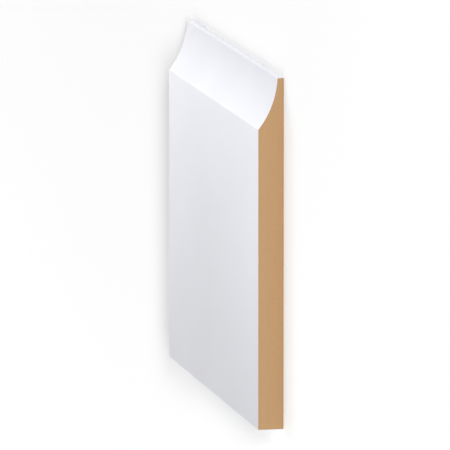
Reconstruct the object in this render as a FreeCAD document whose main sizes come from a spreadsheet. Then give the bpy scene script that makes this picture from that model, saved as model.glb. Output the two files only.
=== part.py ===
import FreeCAD, Part
import math
import os

import Sketcher
from FreeCAD import Vector

# A cut length of fibreboard skirting with a coved top edge, lying on its back face.
# X runs along the length, Y up the board's height to the coved edge, and Z out of the front face.
# The origin is the middle of the back face.

NODE = "skirting_board"

# Driving dimensions in millimetres
SIZES = {
    "board_length": 300.0,  # between the two square saw cuts
    "board_height": 245.0,  # from the floor edge to the coved edge, as fixed to a wall
    "board_thickness": 18.0,
    "land_width": 4.5,  # flat that the cove leaves along the top edge
    "cove_drop": 35.5,  # from the top edge down to where the cove meets the front face
    "cove_radius": 62.0,
    "front_arris_radius": 0.5,  # eased long edges of the moulded front
    "back_arris_radius": 0.3,  # eased long edges of the back
}

TOUCHING = 0.001  # points closer than this are the same point

# How a sketch numbers the two ends of a line or arc, and its own horizontal axis
START, END = 1, 2
ACROSS_AXIS = -1


def fill_sheet(doc):
    """Writes each driving dimension to a cell of its own, named by its alias."""
    sheet = doc.addObject("Spreadsheet::Sheet", "sizes")
    for row, (alias, value) in enumerate(SIZES.items(), start=1):
        sheet.set(f"A{row}", alias)
        sheet.set(f"B{row}", str(value))
        sheet.setAlias(f"B{row}", alias)
    doc.recompute()
    return sheet


def origin_plane(body, role):
    """The body's own origin plane of that role."""
    return next(feature for feature in body.Origin.OriginFeatures if feature.Role == role)


def cove_arc(cove_foot, land_end, radius):
    """The hollow arc between the front face and the land, with its centre out in front of the board."""
    chord = land_end - cove_foot
    centre_distance = math.sqrt(radius**2 - (chord.Length / 2) ** 2)
    outward = Vector(-chord.y, chord.x, 0).normalize()
    deepest = (land_end + cove_foot) / 2 + outward * (centre_distance - radius)
    return Part.Arc(cove_foot, deepest, land_end)


def draw_section(body, sheet):
    """The moulding's section: along the sketch is the board's Y, up the sketch is its Z."""
    half = sheet.board_height / 2
    depth = sheet.board_thickness
    back_foot = Vector(-half, 0, 0)
    back_top = Vector(half, 0, 0)
    land_end = Vector(half, sheet.land_width, 0)
    cove_foot = Vector(half - sheet.cove_drop, depth, 0)
    front_foot = Vector(-half, depth, 0)

    sketch = body.newObject("Sketcher::SketchObject", "section")
    sketch.AttachmentSupport = [(origin_plane(body, "YZ_Plane"), "")]
    sketch.MapMode = "FlatFace"
    back = sketch.addGeometry(Part.LineSegment(back_foot, back_top))
    land = sketch.addGeometry(Part.LineSegment(back_top, land_end))
    cove = sketch.addGeometry(cove_arc(cove_foot, land_end, sheet.cove_radius))
    front = sketch.addGeometry(Part.LineSegment(cove_foot, front_foot))
    floor_edge = sketch.addGeometry(Part.LineSegment(front_foot, back_foot))

    # A sketch turns every arc anticlockwise, so the cove may start at either of its ends
    foot_is_start = (sketch.Geometry[cove].StartPoint - cove_foot).Length < TOUCHING
    foot_of_cove, top_of_cove = (START, END) if foot_is_start else (END, START)
    corners = (
        (back, END, land, START),
        (land, END, cove, top_of_cove),
        (cove, foot_of_cove, front, START),
        (front, END, floor_edge, START),
        (floor_edge, END, back, START),
    )
    for corner in corners:
        sketch.addConstraint(Sketcher.Constraint("Coincident", *corner))
    for line in (back, front):
        sketch.addConstraint(Sketcher.Constraint("Horizontal", line))
    for line in (land, floor_edge):
        sketch.addConstraint(Sketcher.Constraint("Vertical", line))
    sketch.addConstraint(Sketcher.Constraint("PointOnObject", back, START, ACROSS_AXIS))

    measures = (
        ("half_height", ("DistanceX", back, START, ACROSS_AXIS, START, half), "sizes.board_height / 2"),
        ("height", ("DistanceX", back, START, back, END, 2 * half), "sizes.board_height"),
        ("thickness", ("DistanceY", floor_edge, END, floor_edge, START, depth), "sizes.board_thickness"),
        ("land", ("DistanceY", land, START, land, END, sheet.land_width), "sizes.land_width"),
        ("drop", ("DistanceX", front, START, land, END, sheet.cove_drop), "sizes.cove_drop"),
        ("radius", ("Radius", cove, sheet.cove_radius), "sizes.cove_radius"),
    )
    for name, measure, expression in measures:
        index = sketch.addConstraint(Sketcher.Constraint(*measure))
        sketch.renameConstraint(index, name)
        sketch.setExpression(f"Constraints.{name}", expression)
    return sketch


def long_edges(shape, corners):
    """Names of the edges that run along X through these (Y, Z) corners of the section."""
    names = []
    for number, edge in enumerate(shape.Edges, start=1):
        ends = [vertex.Point for vertex in edge.Vertexes]
        for y, z in corners:
            if all(math.hypot(end.y - y, end.z - z) < TOUCHING for end in ends):
                names.append(f"Edge{number}")
    return names


def ease(body, base, name, corners, radius_alias):
    """Rounds the long edges at these corners of the section by the radius of that name."""
    edges = long_edges(base.Shape, corners)
    if len(edges) != len(corners):
        raise RuntimeError(f"{name} found {len(edges)} of {len(corners)} edges")
    fillet = body.newObject("PartDesign::Fillet", name)
    fillet.Base = (base, edges)
    fillet.setExpression("Radius", f"sizes.{radius_alias}")
    body.Document.recompute()
    return fillet


def make_board(doc, sheet):
    """The board: its section run along the length, its machined edges eased and its saw cuts left sharp."""
    body = doc.addObject("PartDesign::Body", NODE)
    body.Label = NODE
    body.Placement = FreeCAD.Placement()  # the back face lies on the floor
    section = draw_section(body, sheet)
    doc.recompute()

    run = body.newObject("PartDesign::Pad", "run")
    run.Profile = section
    run.SideType = "Symmetric"
    run.setExpression("Length", "sizes.board_length")
    doc.recompute()

    half = sheet.board_height / 2
    depth = sheet.board_thickness
    front_corners = [(half, sheet.land_width), (half - sheet.cove_drop, depth), (-half, depth)]
    back_corners = [(half, 0), (-half, 0)]
    front_eased = ease(body, run, "front_arrises", front_corners, "front_arris_radius")
    body.Tip = ease(body, front_eased, "back_arrises", back_corners, "back_arris_radius")
    doc.recompute()
    return body


def check(doc, bodies):
    """Stops if an object failed to compute or a body isn't one valid solid."""
    for item in doc.Objects:
        if "Invalid" in item.State or "Error" in item.State:
            raise RuntimeError(f"{item.Label} failed: {item.State}")
    for body in bodies:
        shape = body.Shape
        if shape.isNull() or not shape.isValid() or len(shape.Solids) != 1:
            raise RuntimeError(f"{body.Label} isn't one valid solid")


def main():
    doc = FreeCAD.newDocument("skirting")
    sheet = fill_sheet(doc)
    board = make_board(doc, sheet)
    check(doc, [board])
    os.makedirs("parts", exist_ok=True)
    board.Shape.exportStep(f"parts/{board.Label}.step")
    box = board.Shape.BoundBox
    print(f"{board.Label}: {box.XLength:.2f} x {box.YLength:.2f} x {box.ZLength:.2f} mm")


main()
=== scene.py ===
# A length of coved skirting board lying on its back: white primer on the moulded faces,
# bare fibreboard on the sawn ends and the back. All in metres, in the part's own frame:
# X along the length, Y up the board's height to the coved edge, Z out of the front face.
import math

import bpy
import numpy as np
from mathutils import Matrix, Vector


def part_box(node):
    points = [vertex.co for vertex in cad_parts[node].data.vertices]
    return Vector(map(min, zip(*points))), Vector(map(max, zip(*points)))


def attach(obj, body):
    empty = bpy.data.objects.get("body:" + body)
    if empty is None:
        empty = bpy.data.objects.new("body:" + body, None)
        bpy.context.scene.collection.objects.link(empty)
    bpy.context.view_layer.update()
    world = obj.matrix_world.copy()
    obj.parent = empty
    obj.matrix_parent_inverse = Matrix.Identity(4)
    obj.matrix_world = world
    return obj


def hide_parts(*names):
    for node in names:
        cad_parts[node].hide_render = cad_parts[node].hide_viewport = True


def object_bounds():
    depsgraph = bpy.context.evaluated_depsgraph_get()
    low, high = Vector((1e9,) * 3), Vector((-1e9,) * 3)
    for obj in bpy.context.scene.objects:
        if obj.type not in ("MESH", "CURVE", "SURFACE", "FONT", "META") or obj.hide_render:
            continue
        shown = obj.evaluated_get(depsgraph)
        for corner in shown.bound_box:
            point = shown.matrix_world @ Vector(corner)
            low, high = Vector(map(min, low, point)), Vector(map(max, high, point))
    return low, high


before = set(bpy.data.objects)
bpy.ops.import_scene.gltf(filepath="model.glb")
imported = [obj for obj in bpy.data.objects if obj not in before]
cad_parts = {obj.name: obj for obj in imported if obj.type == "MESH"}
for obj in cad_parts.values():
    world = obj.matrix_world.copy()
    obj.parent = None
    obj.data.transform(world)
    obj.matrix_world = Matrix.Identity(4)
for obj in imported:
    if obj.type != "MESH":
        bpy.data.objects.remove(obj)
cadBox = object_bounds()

print("frame loaded:", ", ".join(sorted(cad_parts)))

scene = bpy.context.scene
scene.view_settings.view_transform = "Standard"


# The board's section

board = {
    "land": 0.0045,  # flat left along the top edge
    "coveDrop": 0.0355,  # from the top edge down to the cove's foot
    "coveRadius": 0.062,
    "frontArris": 0.0005,  # eased long edges of the moulded front
    "backArris": 0.0003,  # eased long edges of the back
    "arrisSteps": 4,  # round half an arris
    "coveSteps": 48,
    "faceSteps": 44,  # up the flat of the front
    "thicknessSteps": 12,
    "lengthSteps": 60,
}
primed, sawn, bare = range(3)  # the piece's material slots


# A round run: centre plus radius times (cos, sin) of evenly spaced angles, in degrees. The normal is
# that direction too, turned round where the run is a hollow.
def roundRun(centre, radius, fromAngle, toAngle, steps, hollow=False):
    angles = np.radians(np.linspace(fromAngle, toAngle, steps + 1))
    outward = np.column_stack((np.cos(angles), np.sin(angles)))
    return np.array(centre) + radius * outward, -outward if hollow else outward


# A straight run: start plus shares of the way to the end, all with one normal.
def straightRun(start, end, normal, steps):
    shares = np.linspace(0, 1, steps + 1)[:, None]
    points = np.array(start) * (1 - shares) + np.array(end) * shares
    return points, np.broadcast_to(np.array(normal, float), points.shape)


# Runs end to end: each one after the first leaves out the point that it shares with the run before.
def joinRuns(first, *others):
    return tuple(np.concatenate([first[k]] + [run[k][1:] for run in others]) for k in (0, 1))


# The cove's centre: from the middle of its chord, square to the chord and out of the wood, by the
# square root of the radius squared less the half chord squared.
def coveCentre(top, depth):
    landEnd = np.array((top, board["land"]))
    foot = np.array((top - board["coveDrop"], depth))
    halfChord = (landEnd - foot) / 2
    half = np.hypot(*halfChord)
    outward = np.array((-halfChord[1], halfChord[0])) / half
    return (landEnd + foot) / 2 + outward * math.sqrt(board["coveRadius"] ** 2 - half**2)


# The section as four sides that meet halfway round its corner arrises: front, land, back and floor
# edge. Front and back run from the floor edge to the land, the other two from back to front.
# An arris beside the cove has its centre one arris radius under the face next to it, and one cove
# radius and one arris radius from the cove's centre.
def sectionSides(bottom, top, depth):
    ease, easeBack, steps = board["frontArris"], board["backArris"], board["arrisSteps"]
    cove = coveCentre(top, depth)
    reach = board["coveRadius"] + ease
    lowArris = np.array((bottom + ease, depth - ease))
    footArris = np.array((cove[0] - math.sqrt(reach**2 - (cove[1] - depth + ease) ** 2), depth - ease))
    landArris = np.array((top - ease, cove[1] - math.sqrt(reach**2 - (top - ease - cove[0]) ** 2)))
    footAngle = math.degrees(math.atan2(*(cove - footArris)[::-1]))
    landAngle = math.degrees(math.atan2(*(cove - landArris)[::-1]))
    backLow = (bottom + easeBack, easeBack)
    backHigh = (top - easeBack, easeBack)

    front = joinRuns(
        roundRun(lowArris, ease, 135, 90, steps),
        straightRun((lowArris[0], depth), (footArris[0], depth), (0, 1), board["faceSteps"]),
        roundRun(footArris, ease, 90, footAngle, 2 * steps),
        roundRun(
            cove, board["coveRadius"], footAngle + 180, landAngle + 180, board["coveSteps"], hollow=True
        ),
        roundRun(landArris, ease, landAngle, landAngle / 2, steps),
    )
    land = joinRuns(
        roundRun(backHigh, easeBack, -45, 0, steps),
        straightRun((top, easeBack), (top, landArris[1]), (1, 0), board["thicknessSteps"]),
        roundRun(landArris, ease, 0, landAngle / 2, steps),
    )
    floorEdge = joinRuns(
        roundRun(backLow, easeBack, 225, 180, steps),
        straightRun((bottom, easeBack), (bottom, lowArris[1]), (-1, 0), board["thicknessSteps"]),
        roundRun(lowArris, ease, 180, 135, steps),
    )
    # The back's points lie under the front's, so that the ends divide squarely
    ahead = front[0][steps:-steps, 0]
    across = backLow[0] + (ahead - ahead[0]) / (ahead[-1] - ahead[0]) * (backHigh[0] - backLow[0])
    under = np.column_stack((across, np.zeros(len(across))))
    back = joinRuns(
        roundRun(backLow, easeBack, 225, 270, steps),
        (under, np.broadcast_to((0.0, -1.0), under.shape)),
        roundRun(backHigh, easeBack, 270, 315, steps),
    )
    return front, land, back, floorEdge


# A Coons patch: the blend of front and back, plus the blend of floor edge and land, less the blend
# of the four corners. Its two parameters are the shares of the way up the height and to the front.
def endPatch(front, land, back, floorEdge):
    up = (back[:, 0] - back[0, 0]) / (back[-1, 0] - back[0, 0])
    out = (floorEdge[:, 1] - floorEdge[0, 1]) / (floorEdge[-1, 1] - floorEdge[0, 1])
    up, out = up[:, None, None], out[None, :, None]
    lowCorners = (1 - out) * back[0] + out * front[0]
    highCorners = (1 - out) * back[-1] + out * front[-1]
    corners = (1 - up) * lowCorners + up * highCorners
    backToFront = (1 - out) * back[:, None] + out * front[:, None]
    return backToFront + (1 - up) * floorEdge[None] + up * land[None] - corners


# Quads of a grid of vertex numbers, each going round from first to second index.
def gridQuads(numbers):
    these, following = numbers[:-1], numbers[1:]
    corners = (these[:, :-1], following[:, :-1], following[:, 1:], these[:, 1:])
    return np.stack(corners, -1).reshape(-1, 4)


# How deep a point of the section lies under the primer: its least distance from the front face, the
# two long edges and the cove's circle.
def depthUnderPrimer(points, bottom, top, depth):
    height, out = points.T
    fromCove = np.hypot(*(points - coveCentre(top, depth)).T) - board["coveRadius"]
    return np.minimum.reduce((depth - out, height - bottom, top - height, fromCove)).clip(0)


# The whole board: the section's outline carried along X, closed by a patch at each end.
def makeBoard(low, high):
    sides = sectionSides(low.y, high.y, high.z)
    (front, frontTurn), (land, landTurn), (back, backTurn), (floorEdge, floorTurn) = sides
    upSteps, outSteps = len(front) - 1, len(land) - 1
    # Round the section: up the front, down the land to the back, along the back, up the floor edge
    outline = np.concatenate((front, land[-2::-1], back[-2::-1], floorEdge[1:-1]))
    turns = np.concatenate((frontTurn, landTurn[-2::-1], backTurn[-2::-1], floorTurn[1:-1]))
    count = len(outline)
    stations = np.linspace(low.x, high.x, board["lengthSteps"] + 1)

    skin = np.empty((len(stations), count, 3))
    skin[..., 0] = stations[:, None]
    skin[..., 1:] = outline
    inner = endPatch(front, land, back, floorEdge)[1:-1, 1:-1].reshape(-1, 2)
    ends = [np.column_stack((np.full(len(inner), x), inner)) for x in (low.x, high.x)]
    points = np.concatenate([skin.reshape(-1, 3)] + ends)

    # Vertex numbers of the skin, with its first column again at the end, and of the two end patches
    skinNumbers = np.arange(skin[..., 0].size).reshape(len(stations), count)
    skinQuads = gridQuads(np.concatenate((skinNumbers, skinNumbers[:, :1]), 1))
    endQuads = []
    for k, row in enumerate((skinNumbers[0], skinNumbers[-1])):
        numbers = np.empty((upSteps + 1, outSteps + 1), int)
        numbers[:, -1] = row[: upSteps + 1]
        numbers[-1, ::-1] = row[upSteps : upSteps + outSteps + 1]
        numbers[::-1, 0] = row[upSteps + outSteps : 2 * upSteps + outSteps + 1]
        numbers[0, 1:-1] = row[2 * upSteps + outSteps + 1 :]
        numbers[1:-1, 1:-1] = (skinNumbers.size + k * len(inner) + np.arange(len(inner))).reshape(
            upSteps - 1, outSteps - 1
        )
        quads = gridQuads(numbers)
        endQuads.append(quads if k else quads[:, ::-1])
    quads = np.concatenate([skinQuads] + endQuads)

    # Finish of each quad: the back from one corner arris to the other is bare, the ends are sawn
    skinSlots = np.full(count, primed)
    skinSlots[upSteps + outSteps : 2 * upSteps + outSteps] = bare
    slots = np.concatenate((np.tile(skinSlots, board["lengthSteps"]), np.full(2 * len(endQuads[0]), sawn)))

    # Exact normals: the outline's own on the skin, and square to the cut on the ends
    skinTurns = np.column_stack((np.zeros(count), turns))
    normals = np.concatenate(
        [skinTurns[skinQuads % count].reshape(-1, 3)]
        + [np.tile((side, 0.0, 0.0), (4 * len(endQuads[0]), 1)) for side in (-1.0, 1.0)]
    )

    mesh = bpy.data.meshes.new("primedBoard")
    mesh.from_pydata(points.tolist(), [], quads.tolist())
    mesh.polygons.foreach_set("material_index", slots)
    mesh.polygons.foreach_set("use_smooth", np.ones(len(quads), bool))
    under = mesh.attributes.new("underPrimer", "FLOAT", "POINT")
    under.data.foreach_set("value", depthUnderPrimer(points[:, 1:], low.y, high.y, high.z).astype(np.float32))
    mesh.update()
    mesh.normals_split_custom_set(normals.tolist())
    piece = bpy.data.objects.new("primedBoard", mesh)
    scene.collection.objects.link(piece)
    print("board:", len(points), "vertices,", len(quads), "quads")
    return piece


# Nodes

# A node of that kind, with its own settings as keywords. An input takes a value or another node's output.
def addNode(tree, kind, place, inputs=None, **settings):
    node = tree.nodes.new(kind)
    node.location = place
    for name, value in settings.items():
        setattr(node, name, value)
    for name, value in (inputs or {}).items():
        if isinstance(value, bpy.types.NodeSocket):
            tree.links.new(value, node.inputs[name])
        else:
            node.inputs[name].default_value = value
    return node


# A node group with these inputs, each a kind of socket and its value, and these float outputs.
def newGroup(name, inputs, outputs):
    tree = bpy.data.node_groups.new(name, "ShaderNodeTree")
    for label, (kind, value) in inputs.items():
        socket = tree.interface.new_socket(label, in_out="INPUT", socket_type="NodeSocket" + kind)
        if value is not None:
            socket.default_value = value
    for label in outputs:
        tree.interface.new_socket(label, in_out="OUTPUT", socket_type="NodeSocketFloat")
    return tree, tree.nodes.new("NodeGroupInput").outputs, tree.nodes.new("NodeGroupOutput").inputs


# A value spread from one range to another, smoothly where smooth is set.
def spreadValue(tree, place, value, source, target, smooth=False):
    ends = {"From Min": source[0], "From Max": source[1], "To Min": target[0], "To Max": target[1]}
    kind = "SMOOTHSTEP" if smooth else "LINEAR"
    spread = addNode(tree, "ShaderNodeMapRange", place, {"Value": value, **ends}, interpolation_type=kind)
    return spread.outputs["Result"]


# What the operation makes of two values, each a number or another node's output.
def combine(tree, place, operation, first, second):
    return addNode(tree, "ShaderNodeMath", place, {0: first, 1: second}, operation=operation).outputs[0]


fibre = {
    "spread": (0.25, 0.75),  # range of the noise that is spread to 0 and 1
    "speckScale": 0.55,  # times the strand scale
    "speckEdge": 0.05,  # range of the noise over which a speck comes in
}


# Fibre: stretched fine noise for the strands, coarse noise for the clumps that they were pressed from,
# and the highest peaks of a third noise for dark specks of bark. All run from 0 to 1.
def makeFibreGroup():
    tree, given, made = newGroup(
        "boardFibre",
        {
            "Vector": ("Vector", None),
            "Stretch": ("Vector", (1.0, 1.0, 1.0)),
            "Strand Scale": ("Float", 1800.0),
            "Clump Scale": ("Float", 220.0),
            "Speck Start": ("Float", 0.7),
        },
        ("Strands", "Clumps", "Specks"),
    )
    drawn = addNode(
        tree, "ShaderNodeVectorMath", (-800, 0), {0: given["Vector"], 1: given["Stretch"]},
        operation="MULTIPLY",
    ).outputs[0]
    strands = addNode(
        tree, "ShaderNodeTexNoise", (-560, 260),
        {"Vector": drawn, "Scale": given["Strand Scale"], "Detail": 4.0, "Roughness": 0.7, "Distortion": 0.4},
    )
    clumps = addNode(
        tree, "ShaderNodeTexNoise", (-560, 0),
        {"Vector": drawn, "Scale": given["Clump Scale"], "Detail": 3.0, "Roughness": 0.55},
    )
    speckScale = combine(tree, (-800, -260), "MULTIPLY", given["Strand Scale"], fibre["speckScale"])
    bark = addNode(
        tree, "ShaderNodeTexNoise", (-560, -260),
        {"Vector": drawn, "Scale": speckScale, "Detail": 1.0, "Roughness": 0.4},
    )
    speckEnd = combine(tree, (-560, -520), "ADD", given["Speck Start"], fibre["speckEdge"])
    specks = spreadValue(
        tree, (-300, -260), bark.outputs["Fac"], (given["Speck Start"], speckEnd), (0.0, 1.0)
    )
    for noise, height, label in ((strands, 260, "Strands"), (clumps, 0, "Clumps")):
        spread = spreadValue(tree, (-300, height), noise.outputs["Fac"], fibre["spread"], (0.0, 1.0))
        tree.links.new(spread, made[label])
    tree.links.new(specks, made["Specks"])
    return tree


spray = {
    "nibRadius": 0.03,  # in cells of the Voronoi pattern
    "nibsAbove": 0.94,  # a cell has a nib where its random red is above this
}


# Sprayed primer: fine orange peel, slow changes of gloss and thickness, and scattered nibs of dust,
# which are the spots nearest to a few of the points of a Voronoi pattern.
def makeSprayGroup():
    tree, given, made = newGroup(
        "sprayedPrimer",
        {
            "Vector": ("Vector", None),
            "Peel Scale": ("Float", 700.0),
            "Film Scale": ("Float", 26.0),
            "Nib Scale": ("Float", 120.0),
        },
        ("Peel", "Film", "Nibs"),
    )
    peel = addNode(
        tree, "ShaderNodeTexNoise", (-500, 260),
        {"Vector": given["Vector"], "Scale": given["Peel Scale"], "Detail": 2.0, "Roughness": 0.45},
    )
    film = addNode(
        tree, "ShaderNodeTexNoise", (-500, 0),
        {"Vector": given["Vector"], "Scale": given["Film Scale"], "Detail": 4.0, "Roughness": 0.55},
    )
    cells = addNode(
        tree, "ShaderNodeTexVoronoi", (-500, -260), {"Vector": given["Vector"], "Scale": given["Nib Scale"]}
    ).outputs
    spot = spreadValue(
        tree, (-260, -260), cells["Distance"], (spray["nibRadius"], 0.0), (0.0, 1.0), smooth=True
    )
    red = addNode(tree, "ShaderNodeSeparateColor", (-260, -520), {"Color": cells["Color"]}).outputs[0]
    few = combine(tree, (-60, -520), "GREATER_THAN", red, spray["nibsAbove"])
    tree.links.new(peel.outputs["Fac"], made["Peel"])
    tree.links.new(film.outputs["Fac"], made["Film"])
    tree.links.new(combine(tree, (120, -260), "MULTIPLY", spot, few), made["Nibs"])
    return tree


marks = {
    "drawnOut": (0.02, 1.0, 0.05),  # of the streaks, along the length and the thickness
    "streakScale": 6.0,  # times the pitch scale
}


# Tool marks: lines that follow one another up the board's height, at a regular pitch where Ragged is 0
# and as uneven streaks, drawn out along the length and the thickness, where it is 1.
def makeToolGroup():
    tree, given, made = newGroup(
        "toolMarks",
        {"Vector": ("Vector", None), "Pitch Scale": ("Float", 260.0), "Ragged": ("Float", 0.5)},
        ("Marks",),
    )
    even = addNode(
        tree, "ShaderNodeTexWave", (-400, 160),
        {"Vector": given["Vector"], "Scale": given["Pitch Scale"], "Distortion": 2.5, "Detail": 2.0,
         "Detail Scale": 0.6},
        bands_direction="Y",
    )
    drawn = addNode(
        tree, "ShaderNodeVectorMath", (-620, -160), {0: given["Vector"], 1: marks["drawnOut"]},
        operation="MULTIPLY",
    )
    streakScale = combine(tree, (-620, -380), "MULTIPLY", given["Pitch Scale"], marks["streakScale"])
    streaks = addNode(
        tree, "ShaderNodeTexNoise", (-400, -160),
        {"Vector": drawn.outputs[0], "Scale": streakScale, "Detail": 4.0, "Roughness": 0.7},
    )
    mixed = addNode(
        tree, "ShaderNodeMix", (-160, 0),
        {"Factor": given["Ragged"], "A": even.outputs["Fac"], "B": streaks.outputs["Fac"]}, data_type="FLOAT",
    )
    tree.links.new(mixed.outputs["Result"], made["Marks"])
    return tree


# A material whose tree holds only its Principled shader and its output.
def newMaterial(name, **values):
    material = bpy.data.materials.new(name)
    material.use_nodes = True
    tree = material.node_tree
    shader = tree.nodes["Principled BSDF"]
    for label, value in values.items():
        shader.inputs[label].default_value = value
    return material, tree, shader


# Places a group of that tree and gives its outputs.
def useGroup(tree, group, place, inputs):
    return addNode(tree, "ShaderNodeGroup", place, inputs, node_tree=group).outputs


# A mix of two colours, each a plain colour or another node's output.
def mixColour(tree, place, factor, first, second):
    colours = [side if isinstance(side, bpy.types.NodeSocket) else (*side, 1.0) for side in (first, second)]
    mix = addNode(
        tree, "ShaderNodeMix", place, {"Factor": factor, "A": colours[0], "B": colours[1]}, data_type="RGBA"
    )
    return mix.outputs["Result"]


# Object coordinates, whole and as X, Y and Z.
def objectPlace(tree):
    whole = addNode(tree, "ShaderNodeTexCoord", (-1700, 0)).outputs["Object"]
    return whole, addNode(tree, "ShaderNodeSeparateXYZ", (-1500, -300), {"Vector": whole}).outputs


# How far up or down the board's height a point lies from its middle: the absolute value of Y.
def fromMiddle(tree, place, axes):
    return addNode(tree, "ShaderNodeMath", place, {0: axes["Y"]}, operation="ABSOLUTE").outputs[0]


# One bump of the sum of those heights, which are in metres.
def giveBump(tree, shader, heights):
    total = heights[0]
    for k, height in enumerate(heights[1:]):
        total = combine(tree, (-500 + 60 * k, -320 - 120 * k), "ADD", total, height)
    bump = addNode(tree, "ShaderNodeBump", (-220, -320), {"Strength": 1.0, "Distance": 1.0, "Height": total})
    tree.links.new(bump.outputs["Normal"], shader.inputs["Normal"])


primer = {
    "ior": 1.48,
    "colour": (0.83, 0.836, 0.89),
    "thinColour": (0.815, 0.818, 0.866),  # where the film is thinnest
    "roughness": (0.42, 0.50),  # where the film is thick, and where it is thin
    "filmSpread": (0.25, 0.75),  # range of the film's noise over which it changes
    "coveBelow": (0.5, 1.5),  # arrises under the flat of the front, over which the cove's look comes in
    "coveRoughness": 0.07,  # added in the cove, whose cut opened the board's softer core
    "peelScale": 700.0,
    "peelHeight": 0.00003,
    "edgePeel": 0.25,  # share of it left on the long edges, which are sanded between coats
    "peelFade": (2.0, 1.0),  # arrises in from the long edges, over which it falls to that share
    "fuzzHeight": 0.000010,  # of the fibre that shows through in the cove
    "fuzzScale": 2200.0,
    "fuzzStretch": (0.5, 1.0, 1.0),
    "knifePitch": 330.0,
    "knifeRagged": 0.75,
    "knifeHeight": 0.000003,
    "nibHeight": 0.00004,
}


# Satin primer: its colour and gloss follow the film's thickness. Its relief is orange peel, knife marks,
# nibs and, in the cove, fibre, each by its height.
def makePrimer(groups):
    material, tree, shader = newMaterial("satinPrimer", IOR=primer["ior"])
    place, axes = objectPlace(tree)
    coat = useGroup(tree, groups["spray"], (-1100, 300), {"Vector": place, "Peel Scale": primer["peelScale"]})
    knife = useGroup(
        tree, groups["tool"], (-1100, 0),
        {"Vector": place, "Pitch Scale": primer["knifePitch"], "Ragged": primer["knifeRagged"]},
    )
    wood = useGroup(
        tree, groups["fibre"], (-1100, -260),
        {"Vector": place, "Stretch": primer["fuzzStretch"], "Strand Scale": primer["fuzzScale"]},
    )
    arris = board["frontArris"]
    belowFront = [cadBox[1][2] - share * arris for share in primer["coveBelow"]]
    inCove = spreadValue(tree, (-1100, -560), axes["Z"], belowFront, (0.0, 1.0))

    colour = mixColour(tree, (-500, 300), coat["Film"], primer["thinColour"], primer["colour"])
    thick, thin = primer["roughness"]
    gloss = spreadValue(tree, (-760, 80), coat["Film"], primer["filmSpread"], (thin, thick))
    rougher = combine(tree, (-760, -120), "MULTIPLY", inCove, primer["coveRoughness"])
    tree.links.new(colour, shader.inputs["Base Color"])
    tree.links.new(combine(tree, (-500, 40), "ADD", gloss, rougher), shader.inputs["Roughness"])

    nearEdge = [cadBox[1][1] - share * arris for share in primer["peelFade"]]
    heights = (primer["peelHeight"], primer["edgePeel"] * primer["peelHeight"])
    peelHeight = spreadValue(tree, (-1100, -760), fromMiddle(tree, (-1300, -760), axes), nearEdge, heights)
    fuzz = combine(tree, (-940, -800), "MULTIPLY", wood["Strands"], inCove)
    giveBump(tree, shader, [
        combine(tree, (-760, -320), "MULTIPLY", coat["Peel"], peelHeight),
        combine(tree, (-760, -480), "MULTIPLY", knife["Marks"], primer["knifeHeight"]),
        combine(tree, (-760, -640), "MULTIPLY", coat["Nibs"], primer["nibHeight"]),
        combine(tree, (-760, -800), "MULTIPLY", fuzz, primer["fuzzHeight"]),
    ])
    return material


# Bare fibreboard: from dark to light fibre by the strands, then the clumps' colour laid over it by its
# share of the clumps, and the specks' colour by its share of the specks.
def fibreColour(tree, wood, look):
    colour = mixColour(tree, (-860, 300), wood["Strands"], look["darkFibre"], look["lightFibre"])
    clump = spreadValue(tree, (-860, 100), wood["Clumps"], look["clumpSpread"], (0.0, look["clumpShare"]))
    colour = mixColour(tree, (-660, 300), clump, colour, look["clumpColour"])
    speck = combine(tree, (-660, 100), "MULTIPLY", wood["Specks"], look["speckShare"])
    return mixColour(tree, (-460, 300), speck, colour, look["speckColour"])


sawnEnd = {
    "ior": 1.4,
    "roughness": (0.92, 0.80),  # between the strands and on them
    "darkFibre": (0.500, 0.295, 0.141),
    "lightFibre": (0.616, 0.379, 0.195),
    "strandScale": 3000.0,
    "strandStretch": (1.0, 0.28, 1.0),  # strands lie flat in the board, so they run up its height
    "clumpColour": (0.520, 0.308, 0.149),
    "clumpScale": 420.0,
    "clumpSpread": (0.35, 1.0),  # range of the clumps' noise over which their colour comes in
    "clumpShare": 0.35,
    "speckColour": (0.26, 0.14, 0.065),
    "speckStart": 0.73,
    "speckShare": 0.3,
    "skinColour": (0.455, 0.268, 0.130),  # the denser, darker skins of the board
    "skinDepth": 0.0011,
    "skinShare": 0.5,
    "rimDepth": 0.00012,  # edge of the primer, seen from the end
    "rimRagged": 0.00012,
    "fibreHeight": 0.00004,
    "sawPitch": 260.0,
    "sawRagged": 0.35,
    "sawHeight": 0.000012,
    "sawTilt": 14.0,  # degrees off the board's thickness
}


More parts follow.
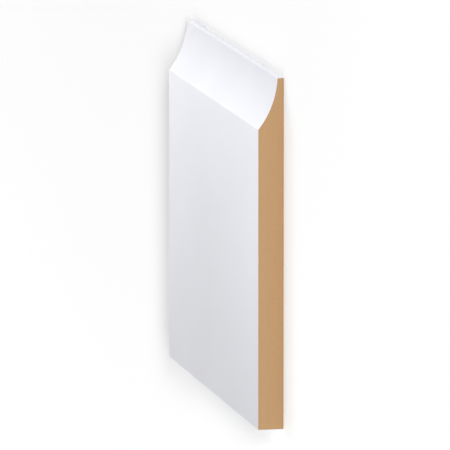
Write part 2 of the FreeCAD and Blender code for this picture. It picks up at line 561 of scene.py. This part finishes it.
# Sawn end: bare fibreboard, darker towards both skins, and primer where a point lies less deep under
# the outline than the rim's depth, which the strands make ragged.
def makeSawnEnd(groups):
    material, tree, shader = newMaterial("sawnFibreboard", IOR=sawnEnd["ior"])
    place, axes = objectPlace(tree)
    wood = useGroup(
        tree, groups["fibre"], (-1100, 300),
        {"Vector": place, "Stretch": sawnEnd["strandStretch"], "Strand Scale": sawnEnd["strandScale"],
         "Clump Scale": sawnEnd["clumpScale"], "Speck Start": sawnEnd["speckStart"]},
    )
    tilt = math.radians(sawnEnd["sawTilt"])
    turned = addNode(tree, "ShaderNodeMapping", (-1300, -60), {"Vector": place, "Rotation": (tilt, 0, 0)})
    saw = useGroup(
        tree, groups["tool"], (-1100, -60),
        {"Vector": turned.outputs[0], "Pitch Scale": sawnEnd["sawPitch"], "Ragged": sawnEnd["sawRagged"]},
    )
    under = addNode(tree, "ShaderNodeAttribute", (-1500, -560), attribute_name="underPrimer").outputs["Fac"]

    colour = fibreColour(tree, wood, sawnEnd)
    # Both skins: near the primed outline, and near the back
    deep = combine(tree, (-1100, -560), "MINIMUM", under, axes["Z"])
    skin = spreadValue(
        tree, (-860, -560), deep, (0.0, sawnEnd["skinDepth"]), (sawnEnd["skinShare"], 0.0), smooth=True
    )
    colour = mixColour(tree, (-260, 300), skin, colour, sawnEnd["skinColour"])
    rimDepths = (sawnEnd["rimDepth"], sawnEnd["rimDepth"] + sawnEnd["rimRagged"])
    ragged = spreadValue(tree, (-860, -760), wood["Strands"], (0.0, 1.0), rimDepths)
    rim = combine(tree, (-660, -560), "LESS_THAN", under, ragged)
    colour = mixColour(tree, (-60, 300), rim, colour, primer["thinColour"])
    roughness = spreadValue(tree, (-460, 0), wood["Strands"], (0.0, 1.0), sawnEnd["roughness"])
    tree.links.new(colour, shader.inputs["Base Color"])
    tree.links.new(roughness, shader.inputs["Roughness"])
    giveBump(tree, shader, [
        combine(tree, (-860, -240), "MULTIPLY", wood["Strands"], sawnEnd["fibreHeight"]),
        combine(tree, (-860, -400), "MULTIPLY", saw["Marks"], sawnEnd["sawHeight"]),
    ])
    return material


bareBack = {
    "ior": 1.4,
    "roughness": (0.82, 0.6),  # bare, and under the mist of primer
    "darkFibre": (0.52, 0.345, 0.195),
    "lightFibre": (0.66, 0.475, 0.300),
    "strandScale": 1500.0,
    "clumpColour": (0.56, 0.38, 0.22),
    "clumpScale": 260.0,
    "clumpSpread": (0.35, 1.0),  # range of the clumps' noise over which their colour comes in
    "clumpShare": 0.4,
    "speckColour": (0.30, 0.175, 0.09),
    "speckStart": 0.7,
    "speckShare": 0.6,
    "sandedColour": (0.68, 0.50, 0.325),
    "sandedSpread": (0.45, 0.75),  # range of the sanding marks over which it comes in
    "sandedShare": 0.35,
    "sandPitch": 420.0,
    "sandRagged": 1.0,
    "mistReach": 0.005,  # how far the sprayed primer strays in from the long edges
    "mistDensity": 0.6,  # at the edges
    "mistEdgeScale": 150.0,  # of the noise that makes its reach uneven
    "dropletScale": 2600.0,
    "dropletSpread": (0.35, 0.65),
    "dropletShare": 0.8,
    "dropletEdge": (0.8, 0.95),  # density plus grain at which a droplet begins and is whole
    "dropletCover": 0.9,
    "fibreHeight": 0.000015,
    "sandHeight": 0.000006,
}


# Sanded back: bare fibreboard with paler sanding streaks, under a mist of primer that covers it where
# density plus grain is high enough. The density falls from the long edges to 0 within its reach.
def makeBareBack(groups):
    material, tree, shader = newMaterial("sandedBack", IOR=bareBack["ior"])
    place, axes = objectPlace(tree)
    wood = useGroup(
        tree, groups["fibre"], (-1100, 300),
        {"Vector": place, "Strand Scale": bareBack["strandScale"], "Clump Scale": bareBack["clumpScale"],
         "Speck Start": bareBack["speckStart"]},
    )
    sanding = useGroup(
        tree, groups["tool"], (-1100, -60),
        {"Vector": place, "Pitch Scale": bareBack["sandPitch"], "Ragged": bareBack["sandRagged"]},
    )
    coat = useGroup(
        tree, groups["spray"], (-1100, -300),
        {"Vector": place, "Peel Scale": bareBack["dropletScale"], "Film Scale": bareBack["mistEdgeScale"]},
    )

    colour = fibreColour(tree, wood, bareBack)
    streak = spreadValue(
        tree, (-860, -100), sanding["Marks"], bareBack["sandedSpread"], (0.0, bareBack["sandedShare"])
    )
    colour = mixColour(tree, (-260, 300), streak, colour, bareBack["sandedColour"])

    # Mist of primer: thickest at the long edges, broken into droplets by the fine noise
    strayed = combine(tree, (-1100, -760), "MULTIPLY", coat["Film"], bareBack["mistReach"])
    reached = combine(tree, (-1100, -600), "ADD", fromMiddle(tree, (-1300, -600), axes), strayed)
    halfReach = 0.5 * bareBack["mistReach"]
    edge = cadBox[1][1] + halfReach
    density = spreadValue(
        tree, (-860, -600), reached, (edge - halfReach, edge), (0.0, bareBack["mistDensity"]), smooth=True
    )
    grains = spreadValue(
        tree, (-860, -880), coat["Peel"], bareBack["dropletSpread"], (0.0, bareBack["dropletShare"])
    )
    droplets = combine(tree, (-660, -600), "ADD", density, grains)
    mist = spreadValue(
        tree, (-460, -600), droplets, bareBack["dropletEdge"], (0.0, bareBack["dropletCover"]), smooth=True
    )
    colour = mixColour(tree, (-60, 300), mist, colour, primer["thinColour"])
    roughness = spreadValue(tree, (-460, 0), mist, (0.0, 1.0), bareBack["roughness"])
    tree.links.new(colour, shader.inputs["Base Color"])
    tree.links.new(roughness, shader.inputs["Roughness"])
    giveBump(tree, shader, [
        combine(tree, (-860, -240), "MULTIPLY", wood["Strands"], bareBack["fibreHeight"]),
        combine(tree, (-860, -400), "MULTIPLY", sanding["Marks"], bareBack["sandHeight"]),
    ])
    return material


groups = {"fibre": makeFibreGroup(), "spray": makeSprayGroup(), "tool": makeToolGroup()}
boardPiece = makeBoard(*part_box("skirting_board"))
for makeMaterial in (makePrimer, makeSawnEnd, makeBareBack):  # in the order of the material slots
    boardPiece.data.materials.append(makeMaterial(groups))
print("finishes ready:", ", ".join(material.name for material in boardPiece.data.materials))
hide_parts("skirting_board")
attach(boardPiece, "root")


# The floor, the world and the lamps

studio = {
    "floorReach": 5.0,
    "floorDrop": 0.0001,  # just under the back face
    "floorColour": (0.9, 0.9, 0.9),
    "worldLight": 0.2,  # strength of the world's light on the board and the floor
    "whiteSeen": 1.0,  # and for the rays that see it, where 1 is white
}


# 1 for rays from the camera, off gloss or through glass, otherwise 0: the greatest of the three.
def seenRays(tree, place):
    x, y = place
    path = addNode(tree, "ShaderNodeLightPath", place).outputs
    direct = combine(tree, (x + 200, y), "MAXIMUM", path["Is Camera Ray"], path["Is Glossy Ray"])
    return combine(tree, (x + 400, y), "MAXIMUM", direct, path["Is Transmission Ray"])


# The floor: a matt square whose corners lie at plus and minus the reach along X and Y, at minus the drop.
def makeFloor():
    reach, drop = studio["floorReach"], -studio["floorDrop"]
    mesh = bpy.data.meshes.new("studioFloor")
    mesh.from_pydata(
        [(-reach, -reach, drop), (reach, -reach, drop), (reach, reach, drop), (-reach, reach, drop)],
        [],
        [(0, 1, 2, 3)],
    )
    floor = bpy.data.objects.new("studioFloor", mesh)
    scene.collection.objects.link(floor)
    material = bpy.data.materials.new("paleFloor")
    material.use_nodes = True
    tree = material.node_tree
    tree.nodes.remove(tree.nodes["Principled BSDF"])
    matt = addNode(tree, "ShaderNodeBsdfDiffuse", (0, 0), {"Color": (*studio["floorColour"], 1)})
    tree.links.new(matt.outputs[0], tree.nodes["Material Output"].inputs["Surface"])
    mesh.materials.append(material)
    return floor


# The world: a low, even light on all that it lights, and plain white for the rays that see it.
def makeWorld():
    world = bpy.data.worlds.new("studioAir")
    world.use_nodes = True
    tree = world.node_tree
    sky = tree.nodes["Background"]
    sky.inputs["Color"].default_value = (1, 1, 1, 1)
    sky.inputs["Strength"].default_value = studio["worldLight"]
    white = addNode(
        tree, "ShaderNodeBackground", (0, -120), {"Color": (1, 1, 1, 1), "Strength": studio["whiteSeen"]}
    )
    mix = addNode(
        tree, "ShaderNodeMixShader", (200, 0),
        {"Fac": seenRays(tree, (-600, 200)), 1: sky.outputs[0], 2: white.outputs[0]},
    )
    tree.links.new(mix.outputs[0], tree.nodes["World Output"].inputs["Surface"])
    scene.world = world


# Each lamp's place, what it looks at, its width and height, its watts, and whether it lights the board
# or the floor
lamps = {
    "boardKey": ((0.0, 0.42, 0.36), (0.0, 0.05, 0.018), (1.4, 0.14), 2.1, "board"),
    "topEdgeLow": ((0.0, 1.5, 0.12), (0.0, 0.11, 0.01), (1.6, 0.15), 3.4, "board"),
    "floorEdgeFill": ((0.0, -1.5, 0.56), (0.0, 0.0, 0.018), (1.6, 0.15), 13.2, "board"),
    "coveStrip": ((0.0, 0.16, 0.16), (0.0, 0.07, 0.018), (0.9, 0.06), 0.12, "board"),
    "nearEndStrip": ((0.8, -0.12, 0.17), (0.15, -0.04, 0.018), (0.8, 0.12), 1.58, "board"),
    "nearEndGlow": ((0.155, -0.01, 0.14), (0.155, -0.01, 0.0), (0.05, 0.12), 0.0155, "board"),
    "farEndStrip": ((-0.8, 0.0, 0.17), (-0.15, 0.0, 0.018), (0.6, 0.12), 0.13, "board"),
    "farEndSheen": ((-0.95, 0.2, 0.29), (-0.1, 0.0, 0.01), (0.5, 0.25), 0.82, "board"),
    "farEndGlow": ((-0.155, -0.01, 0.14), (-0.155, -0.01, 0.0), (0.05, 0.12), 0.0155, "board"),
    "floorFromNear": ((5.853, 0.927, 0.939), (0.0, 0.0, 0.0), (2.4, 0.46), 790.0, "floor"),
    "floorFromFar": ((-2.237, -0.354, 1.471), (0.0, 0.0, 0.0), (2.0, 0.9), 20.4, "floor"),
    "floorFromTop": ((0.0, 1.962, 1.706), (0.0, 0.0, 0.0), (3.0, 0.73), 16.0, "floor"),
    "floorFromFoot": ((0.0, -1.992, 1.671), (0.0, 0.0, 0.0), (3.0, 1.9), 38.8, "floor"),
}


# A lamp looks from its place to its aim and lights either the board or the floor. The light that falls
# on the other one is left out, so each has the level and the shadows that it needs.
def makeLamps(lit):
    receivers = {}
    for label, thing in lit.items():
        receivers[label] = bpy.data.collections.new(label + "Light")
        receivers[label].objects.link(thing)
    for name, (place, aim, size, watts, lights) in lamps.items():
        light = bpy.data.lights.new(name, "AREA")
        light.shape = "RECTANGLE"
        light.size, light.size_y = size
        light.energy = watts
        holder = bpy.data.objects.new(name, light)
        holder.visible_camera = False
        holder.light_linking.receiver_collection = receivers[lights]
        holder.location = place
        holder.rotation_euler = (Vector(aim) - holder.location).to_track_quat("-Z", "Y").to_euler()
        scene.collection.objects.link(holder)


makeWorld()
makeLamps({"board": boardPiece, "floor": makeFloor()})
print("studio ready:", len(lamps), "lamps")


# The camera: a long lens that looks almost along the board and a little down on its coved edge, and is
# turned so that the board's height stands upright in the picture.

view = {
    "fromFaceNormal": 77.9,  # degrees round from square on to the front, towards the near end
    "aboveLevel": 9.09,  # degrees up the board's height
    "distance": 6.217,
    "lens": 706.0,
    "sensorWidth": 36.0,
    "clipEnd": 50.0,
    "aimRight": -0.00007,  # from the board's middle, across the picture
    "aimUp": -0.00285,  # and up it
}


# The direction back to the camera is (cos rise sin turn, sin rise, cos rise cos turn), and the camera
# stands the distance along it from its target, which is the board's middle moved by the aim.
def makeCamera(low, high):
    turn, rise = math.radians(view["fromFaceNormal"]), math.radians(view["aboveLevel"])
    back = Vector((math.cos(rise) * math.sin(turn), math.sin(rise), math.cos(rise) * math.cos(turn)))
    right = Vector((math.cos(turn), 0, -math.sin(turn)))
    up = back.cross(right)
    target = (low + high) / 2 + right * view["aimRight"] + up * view["aimUp"]
    place = target + back * view["distance"]
    data = bpy.data.cameras.new("photoView")
    data.lens, data.sensor_width = view["lens"], view["sensorWidth"]
    data.clip_end = view["clipEnd"]
    camera = bpy.data.objects.new("photoView", data)
    rows = [(right[k], up[k], back[k], place[k]) for k in range(3)]
    camera.matrix_world = Matrix(rows + [(0, 0, 0, 1)])
    scene.collection.objects.link(camera)
    scene.camera = camera
    print("camera ready:", view["lens"], "mm lens")


makeCamera(*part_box("skirting_board"))
bpy.context.view_layer.update()
